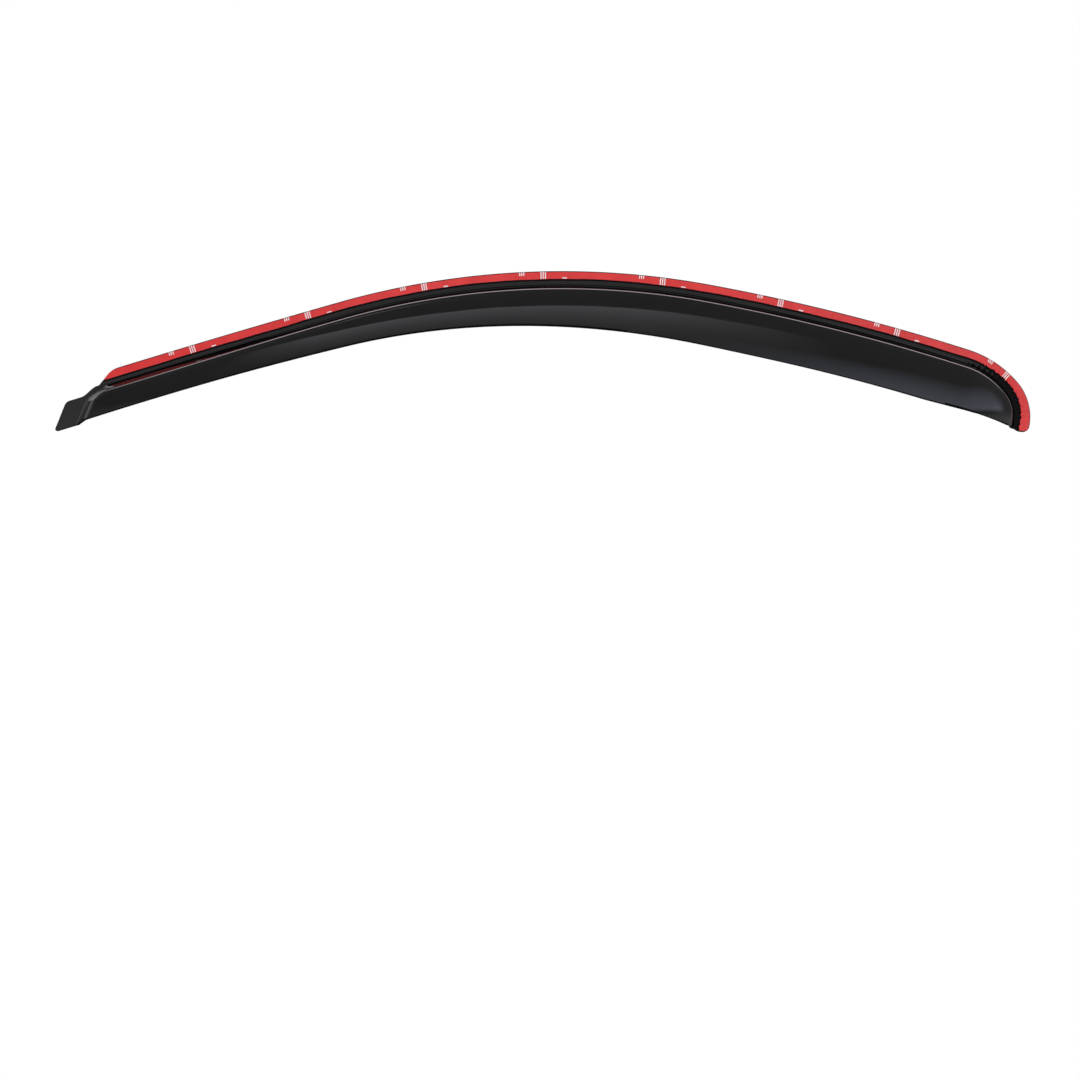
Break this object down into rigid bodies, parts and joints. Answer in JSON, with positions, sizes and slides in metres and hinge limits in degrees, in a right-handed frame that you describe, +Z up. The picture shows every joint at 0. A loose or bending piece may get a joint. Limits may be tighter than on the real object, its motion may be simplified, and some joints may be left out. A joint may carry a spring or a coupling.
{
  "type": "window rain deflector",
  "caption": "Arched smoked acrylic window deflector that tucks into the window channel: taped flange, raised wall, flared blade and flat front tab.",
  "frame": {"origin": "bond face of the tape, at the middle of its width, at the level point of the arch's crown", "axes": "+X to the rear of the car along the arch, -Y outward from the door, +Z up, with both ends of the arch level"},
  "size_m": [1.0438, 0.0314, 0.1721],
  "materials": {
    "smoked_acrylic": "dark smoked acrylic, moulded, high gloss",
    "foam": "dark grey closed-cell acrylic foam, matt",
    "liner": "smooth red film, semi-gloss"
  },
  "bodies": {
    "root": {"visor_shell": "smoked_acrylic", "foam_tape": "foam", "release_liner": "liner"}
  },
  "joints": []
}
